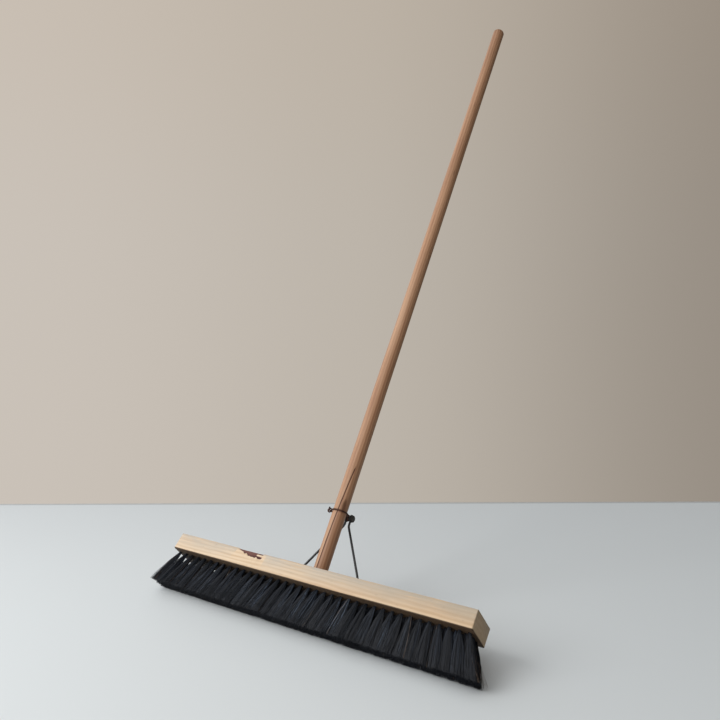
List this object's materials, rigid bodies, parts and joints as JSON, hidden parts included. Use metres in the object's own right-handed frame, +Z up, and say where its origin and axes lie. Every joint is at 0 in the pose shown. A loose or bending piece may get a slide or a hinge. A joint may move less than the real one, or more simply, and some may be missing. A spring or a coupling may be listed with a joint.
{
  "type": "push broom",
  "caption": "Push broom with a wooden block, rows of dark bristle tufts, a long round wooden handle and a wire brace clamped by a wing nut.",
  "frame": {"origin": "on the floor, at the middle of the line where the tips of the back row of tufts touch it", "axes": "+X along the block, towards the end whose tufts are combed least; +Y level, the way the handle leans back; +Z up from the floor"},
  "size_m": [0.6498, 0.84, 1.1949],
  "materials": {
    "block_wood": "bare pale wood, handled and dusty",
    "handle_wood": "aged reddish-brown wood, worn smooth",
    "bristle": "black fibre bristle with a soft sheen",
    "anchor_wire": "drawn flat wire",
    "black_wire": "blackened steel wire",
    "screw_steel": "dulled plated steel",
    "rusty_wire": "rusted wire",
    "bolt_steel": "dark steel, a little rust",
    "nut_steel": "dark plated steel, worn on the wings"
  },
  "bodies": {
    "head": {"block": "block_wood", "tuft_row_1": "bristle", "tuft_anchors_1": "anchor_wire", "tuft_row_2": "bristle", "tuft_anchors_2": "anchor_wire", "tuft_row_3": "bristle", "tuft_anchors_3": "anchor_wire", "tuft_row_4": "bristle", "tuft_anchors_4": "anchor_wire", "tuft_row_5": "bristle", "tuft_anchors_5": "anchor_wire", "brace_leg_left": "black_wire", "brace_leg_right": "black_wire", "foot_screw_left": "screw_steel", "foot_screw_right": "screw_steel", "clamp_wire_front": "rusty_wire", "clamp_wire_back": "rusty_wire", "clamp_bolt": "bolt_steel"},
    "handle": {"handle": "handle_wood"},
    "washer": {"clamp_washer": "bolt_steel"},
    "wing_nut": {"wing_nut": "nut_steel"}
  },
  "joints": [
    {"name": "handle_slide", "type": "slide", "parent": "head", "child": "handle", "axis": [0, 0.5592, 0.829], "range_m": [0, 0.13]},
    {"name": "washer_slide", "type": "slide", "parent": "head", "child": "washer", "axis": [-1, 0, 0], "range_m": [0, 0.003]},
    {"name": "wing_nut_turn", "type": "hinge", "parent": "washer", "child": "wing_nut", "pos_m": [-0.007, 0.14537, 0.15089], "axis": [-1, 0, 0], "range_deg": [0, 1080]}
  ],
  "couplings": [
    {"joint": "wing_nut_turn", "follows": "washer_slide", "rad_per_m": 6283.2}
  ]
}
